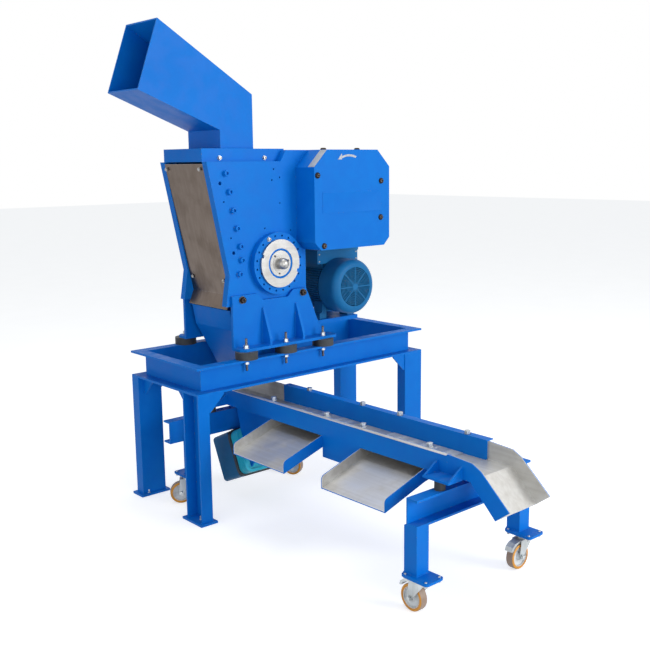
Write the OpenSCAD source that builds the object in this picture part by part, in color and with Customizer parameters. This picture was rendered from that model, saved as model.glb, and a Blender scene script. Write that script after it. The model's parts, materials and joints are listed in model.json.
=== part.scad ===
// Fine crusher on a channel steel stand, with a feed chute, a finned motor and
// a vibrating trough with side chutes on a castor trolley.
// The origin is under the outer corner of the front left leg, on the floor.
// X runs along the stand, Y points from the hub side to the belt side, Z is up.

/* [Stand] */
// length of the ring over its flanges
stand_l = 1370; // [1300:5:1500]
// width of the ring over its flanges
stand_w = 550; // [540:5:600]
// height of the ring's top face
stand_h = 690; // [670:5:760]
// depth of the stand's channel section
beam_d = 120; // [120:5:140]
// flange width of the stand's channel section
beam_b = 55; // [50:1:60]
// web thickness of the stand's channel section
beam_web = 7; // [5:1:9]
// flange thickness of the stand's channel section
beam_flange = 9; // [7:1:11]
// side of the corner gussets
gusset = 80; // [50:5:100]
// thickness of a foot plate
foot_t = 10; // [8:1:16]
// overhang of a foot plate
foot_over = 15; // [8:1:20]

/* [Crusher housing] */
// thickness of a side plate
plate_t = 35; // [25:1:40]
// clear width between the side plates
house_w = 300; // [260:5:310]
// distance from the stand's end to the plate's front top corner
plate_x = 143; // [120:1:160]
// distance the front edge leans back from top to bend
plate_lean = 101; // [60:1:120]
// height of the plate's front top corner above the hub axis
plate_rise = 452; // [420:1:468]
// depth of the bend in the front edge below the hub axis
bend_drop = 40; // [12:1:60]
// depth of the plate's foot below the hub axis
foot_drop = 174; // [162:1:187]
// height of the raised rear part above the front top corner
step_rise = 50; // [40:1:60]
// distance the front cover leans back from its top to its fold
cover_lean = 127; // [100:1:135]
// thickness of the front cover
cover_t = 4; // [3:1:6]

/* [Feed chute] */
// outside width of the chute
chute_w = 250; // [200:5:270]
// sheet thickness of the chute
chute_t = 6; // [4:1:8]
// inner wall of the upright part, from the stand's end
chute_x0 = 258; // [240:1:270]
// outer wall of the upright part, from the stand's end
chute_x1 = 433; // [400:1:450]
// height of the outer bend above the housing
chute_rise = 234; // [200:1:260]
// reach of the mouth's lower lip past the stand's end
mouth_reach = 131; // [80:1:160]

/* [Hub] */
// distance from the stand's end to the hub axis
hub_x = 495; // [480:1:510]
// height of the hub axis
hub_z = 1092; // [1085:1:1100]
// radius of the hub flange
hub_r = 139; // [125:1:142]
// thickness of the hub flange
hub_t = 30; // [20:1:35]
// radius of the steel clamp ring
ring_r = 108; // [100:1:112]
// radius of the shaft's end disc
disc_r = 58; // [50:1:62]

/* [Guards] */
// width of the flywheel guard
guard_w = 470; // [440:5:480]
// height of the flywheel guard
guard_h = 450; // [420:5:450]
// depth of a guard
guard_d = 131; // [110:1:150]
// sheet thickness of a guard
guard_t = 4; // [3:1:6]

/* [Motor] */
// distance from the stand's end to the motor axis
motor_x = 935; // [925:1:945]
// depth of the motor axis below the hub axis
motor_drop = 147; // [137:1:152]
// radius of the motor frame below its fins
motor_r = 118; // [110:1:120]
// radius of the fan cowl
cowl_r = 133; // [128:1:136]
// distance between cooling fins
fin_pitch = 11; // [10:0.5:14]

/* [Trough] */
// outside width of the trough
trough_w = 231; // [220:1:240]
// depth of the trough's bottom face below the stand's ring
trough_drop = 125; // [110:1:130]
// height of the trough's side
trough_h = 77; // [70:1:90]
// distance from the stand's front to the trough's discharge end
trough_reach = 1130; // [1100:5:1200]
// side of the trough nearest the stand's left end
trough_x = 289; // [280:1:295]
// width of a side chute
tray_w = 340; // [300:5:345]
// tilt of the vibrating drive in degrees
drive_tilt = 25; // [22:0.5:26]

/* [Trolley] */
// height of the trolley's beams
trolley_d = 100; // [90:5:110]
// side of a square post
post_b = 60; // [50:5:60]
// distance between the two posts' matching faces
post_pitch = 570; // [560:5:600]
// radius of a castor wheel
wheel_r = 50; // [45:1:50]
// width of a castor wheel
wheel_b = 32; // [28:1:34]
// trail of a castor
trail = 38; // [30:1:42]

/* [Hidden] */

$fn = 48;
big = 2000;
blue = [0.05, 0.36, 0.78];
navy = [0.04, 0.28, 0.66];
teal = [0.08, 0.40, 0.62];
steel = [0.70, 0.70, 0.70];
sheet = [0.60, 0.58, 0.55];
black = [0.13, 0.14, 0.15];
amber = [0.78, 0.52, 0.12];

near_y = (stand_w - house_w) / 2 - plate_t;
in_y = near_y + plate_t;
out_y = in_y + house_w;
far_y = out_y + plate_t;
mid_y = stand_w / 2;
plate_top = hub_z + plate_rise;
plate_rear_top = plate_top + step_rise;
plate_bend = hub_z - bend_drop;
plate_foot = hub_z - foot_drop;
motor_z = hub_z - motor_drop;
lean = plate_lean / (plate_top - plate_bend);
leg_z = stand_h - beam_d;
trough_z = leg_z - trough_drop;

// front edge of the side plates at height z
function edge_x(z) = plate_x + (plate_top - z) * lean;

// channel section standing on Z, web at the far Y side, opening towards -Y
module channel(l, d, b, web, flange) {
    difference() {
        cube([l, b, d]);
        translate([-1, -1, flange]) cube([l + 2, b - web + 1, d - 2 * flange]);
    }
}

// flat plate from an outline in the X-Z plane, from y0 to y1
module slab(pts, y0, y1) {
    translate([0, y1, 0]) rotate([90, 0, 0]) linear_extrude(y1 - y0) polygon(pts);
}

// flat plate from an outline in the Y-Z plane, from x0 to x1
module rib(pts, x0, x1) {
    translate([x0, 0, 0]) rotate([90, 0, 90]) linear_extrude(x1 - x0) polygon(pts);
}

// flat plate along Y from a drawn outline, X to the right and Z up
module drawn(y0, y1) {
    translate([0, y1, 0]) rotate([90, 0, 0]) linear_extrude(y1 - y0) children();
}

// rectangle about its centre with round corners
module rounded(w, h, r) {
    square([w - 2 * r, h], center = true);
    square([w, h - 2 * r], center = true);
    for (sx = [-1, 1])
        for (sy = [-1, 1])
            translate([sx * (w / 2 - r), sy * (h / 2 - r)]) circle(r);
}

// round bar along Y
module bar_y(x, z, r, y0, y1) {
    translate([x, y1, z]) rotate([90, 0, 0]) cylinder(r = r, h = y1 - y0);
}

// ring of channel, flanges outwards
module ring_frame() {
    for (z = [leg_z, stand_h - beam_flange]) {
        translate([0, 0, z]) linear_extrude(beam_flange) difference() {
            square([stand_l, stand_w]);
            translate([beam_b, beam_b]) square([stand_l - 2 * beam_b, stand_w - 2 * beam_b]);
        }
    }
    translate([0, 0, leg_z]) linear_extrude(beam_d) difference() {
        translate([beam_b - beam_web, beam_b - beam_web])
            square([stand_l - 2 * (beam_b - beam_web), stand_w - 2 * (beam_b - beam_web)]);
        translate([beam_b, beam_b]) square([stand_l - 2 * beam_b, stand_w - 2 * beam_b]);
    }
}

module mitre(pts) {
    intersection() {
        ring_frame();
        linear_extrude(big) polygon(pts);
    }
}

module ring_front() color(blue)
    mitre([[0, 0], [stand_l, 0], [stand_l - mid_y, mid_y], [mid_y, mid_y]]);

module ring_back() color(blue)
    mitre([[0, stand_w], [stand_l, stand_w], [stand_l - mid_y, mid_y], [mid_y, mid_y]]);

module ring_left() color(blue)
    mitre([[0, 0], [mid_y, mid_y], [0, stand_w]]);

module ring_right() color(blue)
    mitre([[stand_l, 0], [stand_l - mid_y, mid_y], [stand_l, stand_w]]);

gus_t = 8;
gus_root = 3;
leg_h = leg_z - foot_t;

// outline of a gusset from the leg's face at u, to the side dir, rooted in the leg
function gusset_pts(u, dir) = [[u - dir * gus_root, leg_z], [u + dir * gusset, leg_z],
    [u + dir * gusset, leg_z - gus_t], [u + dir * gus_t, leg_z - gusset],
    [u - dir * gus_root, leg_z - gusset]];

// gusset along X from x
module gusset_x(x, y, dir) slab(gusset_pts(x, dir), y, y + gus_t);

// gusset along Y from y
module gusset_y(x, y, dir) rib(gusset_pts(y, dir), x, x + gus_t);

// upright channel, beam_d along X and web at its low Y side
module leg_wide() {
    translate([0, 0, foot_t]) linear_extrude(leg_h) difference() {
        square([beam_d, beam_b]);
        translate([beam_flange, beam_web]) square([beam_d - 2 * beam_flange, beam_b]);
    }
}

module leg_front_left() color(blue) {
    translate([0, 0, foot_t]) linear_extrude(leg_h) difference() {
        square([beam_b, beam_d]);
        translate([-beam_web, beam_flange]) square([beam_b, beam_d - 2 * beam_flange]);
    }
    translate([-foot_over, -foot_over, 0])
        cube([beam_b + 2 * foot_over, beam_d + 2 * foot_over, foot_t]);
    gusset_x(beam_b, gus_t / 2, 1);
    gusset_y(beam_b / 2, beam_d, 1);
}

module leg_back_left() color(blue) {
    translate([0, stand_w - beam_b, 0]) leg_wide();
    translate([-foot_over, stand_w - beam_b - foot_over, 0])
        cube([beam_d + 2 * foot_over, beam_b + 2 * foot_over, foot_t]);
    gusset_x(beam_d, stand_w - beam_b / 2, 1);
    gusset_y(beam_d / 4, stand_w - beam_b, -1);
}

module leg_front_right() color(blue) {
    translate([stand_l - beam_d, 0, 0]) leg_wide();
    translate([stand_l - beam_d - foot_over, -foot_over, 0])
        cube([beam_d + 2 * foot_over, beam_b + 2 * foot_over, foot_t]);
    gusset_x(stand_l - beam_d, gus_t / 2, -1);
    gusset_y(stand_l - beam_d / 2, beam_b, 1);
}

module leg_back_right() color(blue) {
    translate([stand_l - beam_d, stand_w - beam_b, 0]) leg_wide();
    translate([stand_l - beam_d - foot_over, stand_w - beam_b - foot_over, 0])
        cube([beam_d + 2 * foot_over, beam_b + 2 * foot_over, foot_t]);
    gusset_x(stand_l - beam_d, stand_w - beam_b / 2, -1);
    gusset_y(stand_l - beam_d / 4 - gus_t, stand_w - beam_b, -1);
}

// the outline's corners, from the front top corner and from the bend
foot_in = 22;
plate_l = 532;
rear_l = 857;
step_l = 395;
step_run = 33;
neck_h = 73;
neck_rise = 90;
rear_cut = 94;
rear_cut_l = 80;
plate_foot_x = plate_x + plate_lean - foot_in;
step_x0 = plate_x + step_l;
step_x1 = step_x0 + step_run;
back_x = plate_x + plate_l;
rear_x = plate_x + rear_l;
neck_z = hub_z + neck_h;
plate_pts = [[plate_x, plate_top], [edge_x(plate_bend), plate_bend], [plate_foot_x, plate_foot],
    [back_x, plate_foot], [back_x, neck_z], [rear_x, neck_z + neck_rise],
    [rear_x, plate_rear_top - rear_cut], [rear_x - rear_cut_l, plate_rear_top],
    [step_x1, plate_rear_top], [step_x0, plate_top]];
// pins and tapped holes in a side plate, each behind and below its front top corner
pin_hole_r = 8;
small_r = 4;
pin_holes = [[65, 91], [126, 392]];
small_holes = [[82, 170], [114, 327], [355, 34], [344, 82], [388, 71], [387, 185], [299, 294],
    [445, 310]];
shaft_r = 40;
shaft_gap = 0.06;
tap_r = 5;
tap_edge = 15;
tap_pcd_r = hub_r - tap_edge;
tap_count = 20;
tap_depth = 20;

// circle of tapped holes about the hub axis
module tap_circle(y0, y1)
    for (i = [0 : tap_count - 1])
        bar_y(hub_x + tap_pcd_r * cos((i + 0.5) * 360 / tap_count),
            hub_z + tap_pcd_r * sin((i + 0.5) * 360 / tap_count), tap_r, y0, y1);

// second copy on the far side of the machine
module far_side() translate([0, stand_w, 0]) mirror([0, 1, 0]) children();

module both_sides() {
    children();
    far_side() children();
}

module side_plate() {
    difference() {
        slab(plate_pts, near_y, in_y);
        bar_y(hub_x, hub_z, ring_r, near_y - 1, in_y + 1);
        for (p = pin_holes)
            bar_y(plate_x + p[0], plate_top - p[1], pin_hole_r, near_y - 1, in_y + 1);
        for (p = small_holes)
            bar_y(plate_x + p[0], plate_top - p[1], small_r, near_y - 1, in_y + 1);
        tap_circle(near_y - 1, near_y + tap_depth);
    }
}

module side_plate_near() color(blue) side_plate();

module side_plate_far() color(blue) far_side() side_plate();

cover_gap = 9;
cover_top = plate_top - cover_gap;
fold_z = plate_foot + 43;
fold_x = plate_x + 2 + cover_lean;
lip_drop = 61;
lip_run = 25;
lip_x = fold_x - lip_run;
lip_z = fold_z - lip_drop;

// front cover with a folded lip over the hopper
module front_cover() color(steel)
    slab([[plate_x + 2, cover_top], [fold_x, fold_z], [lip_x, lip_z], [lip_x + cover_t, lip_z - 1],
        [fold_x + cover_t + 1, fold_z], [plate_x + 2 + cover_t, cover_top]], in_y, out_y);

// the jaws' outlines, from the plate's front edge, its foot and the hub axis
jaw_x = 33;
jaw_t = 53;
jaw_top = plate_top - 50;
jaw_foot = plate_foot + 67;
swing_x0 = hub_x - 118;
swing_x1 = hub_x - 65;
swing_back = hub_x + 25;
swing_drop = 25;
swing_low = hub_z + 72;
swing_rise = 50;

// fixed and swing jaw, plain stand-ins for the hidden jaws
module jaws() color(steel) {
    slab([[edge_x(jaw_top) + jaw_x, jaw_top], [edge_x(jaw_foot) + jaw_x, jaw_foot],
        [edge_x(jaw_foot) + jaw_x + jaw_t, jaw_foot], [edge_x(jaw_top) + jaw_x + jaw_t, jaw_top]],
        in_y, out_y);
    slab([[swing_x0, jaw_foot - swing_drop], [swing_x1, jaw_foot - swing_drop],
        [swing_x1, swing_low], [swing_back, swing_low + swing_rise], [swing_back, jaw_top],
        [swing_x1, jaw_top]], in_y, out_y);
}

rear_t = 6;
rear_in = 4;
box_z0 = plate_top - 44;
box_z1 = plate_rear_top + 6;
box_x1 = step_x1 + 14;
rear_top = plate_rear_top - rear_in;
rear_end = rear_x - rear_in;
rear_foot = neck_z + neck_rise + rear_in;
// bent sheet that closes the top and the back between the side plates
module rear_cover() color(blue)
    slab([[box_x1, rear_top], [rear_x - rear_cut_l - 2, rear_top], [rear_end, rear_top - rear_cut + 2],
        [rear_end, rear_foot], [rear_end - rear_t, rear_foot], [rear_end - rear_t, rear_top - rear_cut],
        [rear_x - rear_cut_l - rear_t + 1, rear_top - rear_t], [box_x1, rear_top - rear_t]],
        in_y, out_y);

box_t = 8;
box_front = 50;
// collar between the plates that carries the chute, open below, higher at its front
module top_box() color(blue) {
    difference() {
        translate([plate_x, in_y, box_z0]) cube([box_x1 - plate_x, house_w, box_z1 - box_z0]);
        translate([plate_x + box_t, in_y + box_t, box_z0 - 1])
            cube([box_x1 - plate_x - 2 * box_t, house_w - 2 * box_t, box_z1 - box_z0 - box_t + 1]);
        translate([chute_x0 + chute_t, mid_y - chute_w / 2 + chute_t, box_z0])
            cube([chute_x1 - chute_x0 - 2 * chute_t, chute_w - 2 * chute_t, big]);
        translate([plate_x - 1, in_y - 1, box_z0 - 1])
            cube([box_t + box_front, house_w + 2, plate_top - box_z0 + 1]);
    }
}

chute_bend = box_z1 + chute_rise;
mouth_drop = 3;
mouth_rise = 281;
mouth_lean = 102;
bend_depth = 155;
mouth_z = chute_bend - mouth_drop;
mouth_top = chute_bend + mouth_rise;
mouth_top_x = -mouth_reach + mouth_lean;
bend_in = chute_bend - bend_depth;
floor_m = (bend_in - mouth_z) / (chute_x0 + mouth_reach);
roof_m = (chute_bend - mouth_top) / (chute_x1 - mouth_top_x);
function floor_z(x) = mouth_z + (x + mouth_reach) * floor_m + chute_t * sqrt(1 + floor_m * floor_m);
function roof_z(x) = mouth_top + (x - mouth_top_x) * roof_m - chute_t * sqrt(1 + roof_m * roof_m);

module feed_chute() color(blue) {
    past = 60;
    xa = chute_x0 + chute_t;
    xb = chute_x1 - chute_t;
    y0 = mid_y - chute_w / 2;
    difference() {
        slab([[-mouth_reach, mouth_z], [mouth_top_x, mouth_top], [chute_x1, chute_bend],
            [chute_x1, box_z1], [chute_x0, box_z1], [chute_x0, bend_in]], y0, y0 + chute_w);
        slab([[-mouth_reach - past, floor_z(-mouth_reach - past)],
            [mouth_top_x - past, roof_z(mouth_top_x - past)], [xb, roof_z(xb)],
            [xb, box_z1 - past], [xa, box_z1 - past], [xa, floor_z(xa)]],
            y0 + chute_t, y0 + chute_w - chute_t);
    }
}

// the hopper's outline, from the lip above it and the trough below it
hop_t = 5;
hop_x0 = lip_x + 15;
hop_x1 = 650;
hop_top = jaw_foot - 50;
hop_lip = lip_z - 7;
hop_knee = hop_lip - 93;
knee_x = hop_x0 + 18;
notch_x = hop_x0 + 38;
out_x0 = 395;
out_x1 = 505;
out_h = 30;
hop_out = trough_z + trough_h + 38;
throat_z = hop_out + out_h;
// discharge hopper, open above and below
module hopper() color(navy) {
    difference() {
        slab([[hop_x0, hop_lip], [knee_x, hop_knee], [out_x0, throat_z], [out_x0, hop_out],
            [out_x1, hop_out], [out_x1, throat_z], [hop_x1, hop_knee], [hop_x1, hop_top],
            [notch_x, hop_top], [notch_x, hop_lip]], in_y, out_y);
        slab([[hop_x0 + hop_t, hop_top + 1], [hop_x0 + hop_t, hop_lip], [knee_x + hop_t, hop_knee + 1],
            [out_x0 + hop_t, throat_z + 1], [out_x0 + hop_t, hop_out - 1],
            [out_x1 - hop_t, hop_out - 1], [out_x1 - hop_t, throat_z + 3],
            [hop_x1 - hop_t, hop_knee + 3], [hop_x1 - hop_t, hop_top + 1]],
            in_y + hop_t, out_y - hop_t);
    }
}

// the bracket's outline, from its front lower corner
brk_t = 15;
buf_h = 33;
brk_bot = stand_h + buf_h;
brk_flange = 12;
brk_top = plate_foot + 46;
brk_x0 = 244;
saddle_x0 = 134;
saddle_x1 = 342;
saddle_d = 31;
saddle_run = 33;
brk_x1 = brk_x0 + 561;
rib_x = [brk_x0 + 160, brk_x0 + 351];
rib_top = brk_top - 65;
rib_low = 40;
brk_pts = [[brk_x0, brk_bot], [brk_x0, brk_top], [brk_x0 + saddle_x0, brk_top],
    [brk_x0 + saddle_x0 + saddle_run, brk_top - saddle_d],
    [brk_x0 + saddle_x1 - saddle_run, brk_top - saddle_d], [brk_x0 + saddle_x1, brk_top],
    [brk_x1 - 143, brk_top], [brk_x1 - 117, brk_top - 56], [brk_x1 - 60, brk_bot + 45],
    [brk_x1 - 27, brk_bot + brk_flange], [brk_x1 - 27, brk_bot]];
buf_r = 50;
buf_in = 35;
buf_pitch = 222;
buf_x = [for (i = [0 : 2]) brk_x0 + buf_in + i * buf_pitch];
buf_y = 30;
brk_y = 8;
brk_cut = 20;
stud_r = 6.5;

// foot bracket of the near side, standing out towards -Y
module bracket() {
    plate_y = near_y - brk_t;
    difference() {
        union() {
            slab(brk_pts, plate_y, near_y);
            translate([0, 0, brk_bot]) linear_extrude(brk_flange)
                polygon([[brk_x0, near_y], [brk_x0, brk_y + brk_cut], [brk_x0 + brk_cut, brk_y],
                    [brk_x1 - brk_cut, brk_y], [brk_x1, brk_y + brk_cut], [brk_x1, near_y]]);
            for (x = rib_x)
                rib([[plate_y + 1, brk_bot + brk_flange - 1], [brk_y + 12, brk_bot + brk_flange - 1],
                    [brk_y + 12, brk_bot + rib_low], [plate_y - 6, rib_top], [plate_y + 1, rib_top]],
                    x, x + brk_flange);
        }
        for (x = buf_x) translate([x, buf_y, brk_bot - 1]) cylinder(r = stud_r, h = brk_flange + 2);
    }
}

module bracket_near() color(blue) bracket();

module bracket_far() color(blue) far_side() bracket();

module stand_buffers() color(black)
    for (x = buf_x)
        for (y = [buf_y, stand_w - buf_y])
            translate([x, y, stand_h]) cylinder(r = buf_r, h = buf_h);

hub_bore = disc_r + 10;
seat_d = 2;

module hub_flanges() color(blue) both_sides() {
    y0 = near_y - hub_t;
    difference() {
        bar_y(hub_x, hub_z, hub_r, y0, near_y);
        bar_y(hub_x, hub_z, hub_bore, y0 - 1, y0 + seat_d);
        bar_y(hub_x, hub_z, shaft_r + shaft_gap, y0, near_y + 1);
        tap_circle(y0 - 1, near_y + 1);
    }
}

clamp_t = 12;
notch = 16;
notch_turn = 21;
face_y = near_y - hub_t - clamp_t;
module clamp_rings() color(steel) both_sides() {
    difference() {
        bar_y(hub_x, hub_z, ring_r, face_y, face_y + clamp_t);
        bar_y(hub_x, hub_z, hub_bore, face_y - 1, face_y + clamp_t + 1);
        for (s = [-1, 1])
            translate([hub_x, face_y + clamp_t / 2, hub_z]) rotate([0, notch_turn, 0])
                translate([s * ring_r, 0, 0]) cube([notch, clamp_t + 2, notch], center = true);
    }
}

dome_r = 26;
dome_out = 18;
disc_t = 10;
// shaft that shows in the hub, with a round nose on the near end
module hub_shaft() color(steel) {
    bar_y(hub_x, hub_z, shaft_r, face_y, stand_w - face_y);
    for (y = [face_y + 2, stand_w - face_y - 2 - disc_t])
        bar_y(hub_x, hub_z, disc_r, y, y + disc_t);
    bar_y(hub_x, hub_z, dome_r, face_y - dome_out, face_y);
    translate([hub_x, face_y - dome_out, hub_z]) difference() {
        sphere(r = dome_r);
        translate([0, dome_r, 0]) cube(2 * dome_r, center = true);
    }
}

guard_x = 624;
guard_z = hub_z + 52;
cut_top = 78;
cut_low = 36;
// upper part of a guard's outline, inset by t, from its lower left to its lower right
function guard_top(t) = [[guard_x + cut_low + t / 2, guard_z + t],
    [guard_x + t, guard_z + cut_low + t / 2], [guard_x + t, guard_z + guard_h - cut_top - t / 2],
    [guard_x + cut_top + t / 2, guard_z + guard_h - t],
    [guard_x + guard_w - cut_top - t / 2, guard_z + guard_h - t],
    [guard_x + guard_w - t, guard_z + guard_h - cut_top - t / 2]];

// flywheel guard: eight sided
function wheel_pts(t) = concat(guard_top(t), [[guard_x + guard_w - t, guard_z + cut_low + t / 2],
    [guard_x + guard_w - cut_low - t / 2, guard_z + t]]);

belt_low = motor_z - 145;
belt_x = 800;
// belt guard: the same above, with a leg down to the motor's pulley
function belt_pts(t) = concat(guard_top(t), [[guard_x + guard_w - t, belt_low + cut_low + t / 2],
    [guard_x + guard_w - cut_low - t / 2, belt_low + t], [belt_x + cut_low + t / 2, belt_low + t],
    [belt_x + t, belt_low + cut_low + t / 2], [belt_x + t, guard_z + t]]);

module flywheel_guard() color(blue) {
    difference() {
        slab(wheel_pts(0), near_y - guard_d, near_y);
        slab(wheel_pts(guard_t), near_y - guard_d + guard_t, near_y + 1);
    }
}

entry_r = 40;
module belt_guard() color(blue) {
    difference() {
        slab(belt_pts(0), far_y, far_y + guard_d);
        slab(belt_pts(guard_t), far_y + guard_t, far_y + guard_d - guard_t);
        bar_y(motor_x, motor_z, entry_r, far_y - 1, far_y + guard_t + 1);
    }
}

// the motor's lengths, from its drive end towards its fan
cowl_l = 120;
frame_l = 250;
shield_t = 18;
shield_y = far_y - shield_t - 42;
frame_y = shield_y - frame_l;
cowl_y = frame_y - cowl_l;
cowl_t = 3;
cowl_gap = 0.3;
cowl_seat = 12;
fin_r = cowl_r - 2;
fin_t = 4;
fin_end = 12;
fin_rows = floor(0.68 * motor_r / fin_pitch);
motor_foot = motor_z - 160;
foot_x = 113;
foot_web = 92;
foot_h = 25;
foot_l = 60;
box_b = 262;
box_l = 190;
box_h = 53;
box_neck = 170;
box_low = motor_z + 110;
lid_t = 12;
lid_over = 3;
motor_shaft_r = 19;
fan_r = 95;
fan_hub_r = 30;
blade_t = 3;
blade_count = 8;
guard_mid = guard_d / 2;

// flat fins, level at the sides and upright above and below
module fins()
    intersection() {
        bar_y(motor_x, motor_z, fin_r, frame_y + fin_end, shield_y - fin_end);
        for (i = [-fin_rows : fin_rows]) {
            translate([motor_x - fin_r, frame_y, motor_z + i * fin_pitch - fin_t / 2])
                cube([2 * fin_r, frame_l, fin_t]);
            translate([motor_x + i * fin_pitch - fin_t / 2, frame_y, motor_z - fin_r])
                cube([fin_t, frame_l, 2 * fin_r]);
        }
    }

// cast foot on the side s, with its web up to the frame
module motor_feet(s)
    for (y = [frame_y + 15, shield_y - 15 - foot_l])
        translate([motor_x, 0, motor_foot])
            slab([[s * (foot_web - 22), 0], [s * foot_x, 0], [s * foot_x, foot_h],
                [s * (foot_x - 15), foot_h + 7], [s * foot_web, 100], [s * (foot_web - 22), 100]],
                y, y + foot_l);

// fan that shows behind the grille
module fan() {
    bar_y(motor_x, motor_z, fan_hub_r, cowl_y + 30, frame_y + 1);
    for (i = [0 : blade_count - 1])
        translate([motor_x, cowl_y + 35, motor_z]) rotate([0, i * 360 / blade_count, 0])
            translate([fan_hub_r - 2, 0, -blade_t / 2])
                cube([fan_r - fan_hub_r + 2, cowl_l - 55, blade_t]);
}

module motor_body() color(teal) {
    bar_y(motor_x, motor_z, motor_r, frame_y, shield_y);
    fins();
    fan();
    bar_y(motor_x, motor_z, cowl_r - cowl_t - cowl_gap, frame_y - cowl_seat, frame_y);
    bar_y(motor_x, motor_z, motor_r + 6, shield_y, shield_y + shield_t);
    bar_y(motor_x, motor_z, motor_shaft_r, shield_y, far_y + guard_mid);
    for (s = [-1, 1]) motor_feet(s);
    translate([motor_x - box_neck / 2, frame_y + 30, motor_z])
        cube([box_neck, box_l - 60, box_low - motor_z + 1]);
    translate([motor_x - box_b / 2, frame_y + 5, box_low]) cube([box_b, box_l, box_h]);
    translate([motor_x - box_b / 2 - lid_over, frame_y + 5 - lid_over, box_low + box_h])
        cube([box_b + 2 * lid_over, box_l + 2 * lid_over, lid_t]);
}

grille_r = 100;
cowl_round = cowl_r - grille_r;
eye_r = 17;
slot_w = 5;
slot_pitch = 8;
spoke_w = 4;
spoke_turn = 45;
slot_count = floor((grille_r - eye_r - 1) / slot_pitch);

// form of the cowl with its rounded front, inset by t
module cowl_form(t)
    rotate_extrude() {
        translate([0, -t]) square([cowl_r - t, cowl_l - cowl_round + t]);
        square([cowl_r - cowl_round, cowl_l - t]);
        translate([cowl_r - cowl_round, cowl_l - cowl_round]) circle(cowl_round - t);
    }

// ring slots of the grille, crossed by spokes
module grille_slots()
    difference() {
        for (i = [0 : slot_count - 1])
            difference() {
                cylinder(r = eye_r + i * slot_pitch + slot_w, h = cowl_t + 2);
                translate([0, 0, -1]) cylinder(r = eye_r + i * slot_pitch, h = cowl_t + 4);
            }
        for (a = [0 : spoke_turn : 179])
            rotate(a) translate([-grille_r, -spoke_w / 2, -1])
                cube([2 * grille_r, spoke_w, cowl_t + 4]);
    }

// sheet cowl, open towards the frame, with a grille in its front
module fan_cowl() color(teal)
    translate([motor_x, frame_y, motor_z]) rotate([90, 0, 0]) difference() {
        cowl_form(0);
        cowl_form(cowl_t);
        translate([0, 0, cowl_l - cowl_t - 1]) grille_slots();
    }

base_t = 20;
cross_b = 60;
base_lap = 45;
base_over = 2;
base_x0 = brk_x1 - cross_b - base_lap;
base_x1 = motor_x + foot_x + base_over;
module motor_base() color(blue) {
    translate([base_x0, near_y, motor_foot - base_t]) cube([cross_b, far_y - near_y, base_t]);
    translate([base_x0, frame_y - 10, motor_foot - base_t])
        cube([base_x1 - base_x0, far_y - frame_y + 10, base_t]);
}

wall = 5;
trough_x1 = trough_x + trough_w;
trough_y0 = -trough_reach;
trough_y1 = 430;
// distance from the stand's front to the nearer edge of each side chute
tray_near = [122, 685];
tray_y = [for (d = tray_near) -d - tray_w];
win = 8;
box_low_z = trough_z - 89;
drive_w = 214;
drive_y = 175;
drive_z = trough_z - 230;
drive_h = 216;
drive_front = 60;
drive_back = 140;
drive_x = trough_x + trough_w / 2;
web_t = 8;
web_x = [trough_x + 40, trough_x1 - 40 - web_t];
function drv(y, z) = [drive_y + y * cos(drive_tilt) + z * sin(drive_tilt),
    drive_z - y * sin(drive_tilt) + z * cos(drive_tilt)];
module trough_body() color(blue) {
    difference() {
        translate([trough_x, trough_y0, trough_z]) cube([trough_w, trough_y1 - trough_y0, trough_h]);
        translate([trough_x + wall, trough_y0 - 1, trough_z + wall])
            cube([trough_w - 2 * wall, trough_y1 - trough_y0 + 2, trough_h]);
        for (y = tray_y)
            translate([trough_x + wall + win, y + win, trough_z - 1])
                cube([trough_w - 2 * wall - 2 * win, tray_w - 2 * win, wall + 2]);
    }
    difference() {
        translate([trough_x, tray_y[1] + tray_w, box_low_z])
            cube([trough_w, tray_y[0] - tray_y[1] - tray_w, trough_z - box_low_z]);
        translate([trough_x + wall, tray_y[1] + tray_w - 1, box_low_z + wall])
            cube([trough_w - 2 * wall, tray_y[0] - tray_y[1] - tray_w + 2, trough_z - box_low_z - wall]);
    }
    for (x = web_x)
        rib([drv(-drive_front, -80), drv(-drive_front, 100), [drive_y + 15, trough_z],
            [drive_y - 265, trough_z], [drive_y - 195, drive_z + 85]], x, x + web_t);
    for (y = [mount_front - 60, mount_rear - 60])
        for (s = [-1, 1]) mount_plate(s, y);
}

mount_reach = 74;
mount_t = 8;
mount_l = 120;
mount_z = trough_z + 2;
mount_top = mount_z + 50;
beam_y = -trough_reach - 36;
rear_y = 236;
beam_w = 50;
mount_front = beam_y + beam_w / 2;
mount_rear = rear_y + beam_w / 2;
// bracket with two gussets on one side of the trough, s is -1 or 1
module mount_plate(s, y) {
    x0 = s < 0 ? trough_x : trough_x1;
    xa = s < 0 ? x0 - mount_reach : x0;
    translate([xa, y, mount_z]) cube([mount_reach, mount_l, mount_t]);
    for (g = [y, y + mount_l - mount_t])
        slab([[x0, mount_z + mount_t], [x0 + s * (mount_reach - 6), mount_z + mount_t],
            [x0, mount_top]], g, g + mount_t);
}

mount_buf_r = 20;
mount_buf_h = 35;
mount_buf_x = 49;
beam_z = mount_z - mount_buf_h - trolley_d;
module trough_buffers() color(black)
    for (y = [mount_front, mount_rear])
        for (x = [trough_x - mount_buf_x, trough_x1 + mount_buf_x])
            translate([x, y, beam_z + trolley_d]) cylinder(r = mount_buf_r, h = mount_buf_h);

liner_t = 3;
lining_t = 2;
hem = 6;
liner_top = trough_z + trough_h + liner_t;
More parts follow.
